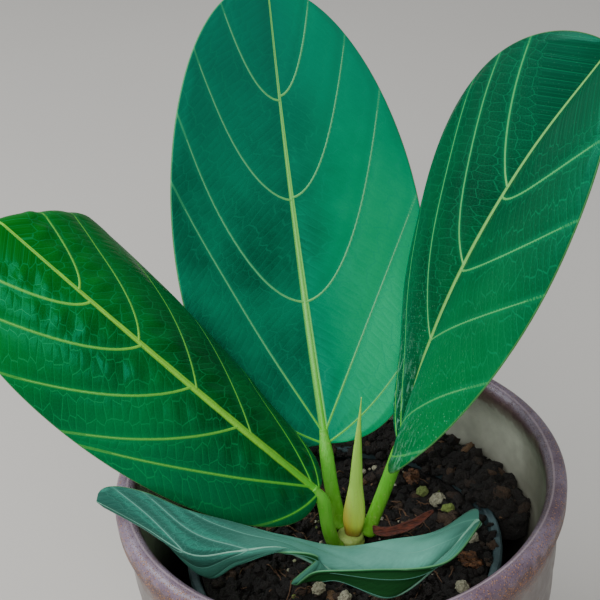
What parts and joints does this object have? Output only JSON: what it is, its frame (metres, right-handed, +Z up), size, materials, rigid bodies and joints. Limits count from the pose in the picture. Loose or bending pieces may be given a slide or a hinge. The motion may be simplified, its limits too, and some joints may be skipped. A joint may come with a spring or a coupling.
{
  "type": "potted banyan fig plant",
  "caption": "Young banyan fig with broad glossy oval leaves, a pointed leaf bud and a crumpled low leaf, growing in soil in a plastic nursery pot inside a glazed ceramic cover pot.",
  "frame": {"origin": "centre of the cover pot's flat underside", "axes": "+Z up; -Y is the front, where the low leaf lies; +X is the right of the plant seen from the front"},
  "size_m": [0.1847, 0.193, 0.2665],
  "materials": {
    "glaze": "satin glaze, speckled amber and violet at the rim",
    "dark_plastic": "matte",
    "potting_mix": "rough, damp",
    "green_stem": "smooth, satin",
    "bud_scale": "satin",
    "leaf_blade": "waxy, glossy above and duller below",
    "dry_scale": "dry, matte",
    "perlite": "rough",
    "bark": "rough"
  },
  "bodies": {
    "root": {"ceramic_pot": "glaze", "nursery_pot": "dark_plastic", "soil": "potting_mix", "spilled_mix": "potting_mix", "stem": "green_stem", "stipule_bud": "bud_scale", "petiole_left": "green_stem", "petiole_centre": "green_stem", "petiole_right": "green_stem", "petiole_front": "green_stem", "leaf_left": "leaf_blade", "leaf_centre": "leaf_blade", "leaf_right": "leaf_blade", "leaf_front": "leaf_blade", "scale_curled": "dry_scale", "scale_back": "dry_scale", "perlite_01": "perlite", "perlite_02": "perlite", "perlite_03": "perlite", "perlite_04": "perlite", "perlite_05": "perlite", "perlite_06": "perlite", "perlite_07": "perlite", "perlite_08": "perlite", "perlite_09": "perlite", "perlite_10": "perlite", "bark_01": "bark", "bark_02": "bark", "bark_03": "bark", "bark_04": "bark", "bark_05": "bark", "bark_06": "bark"}
  },
  "joints": []
}
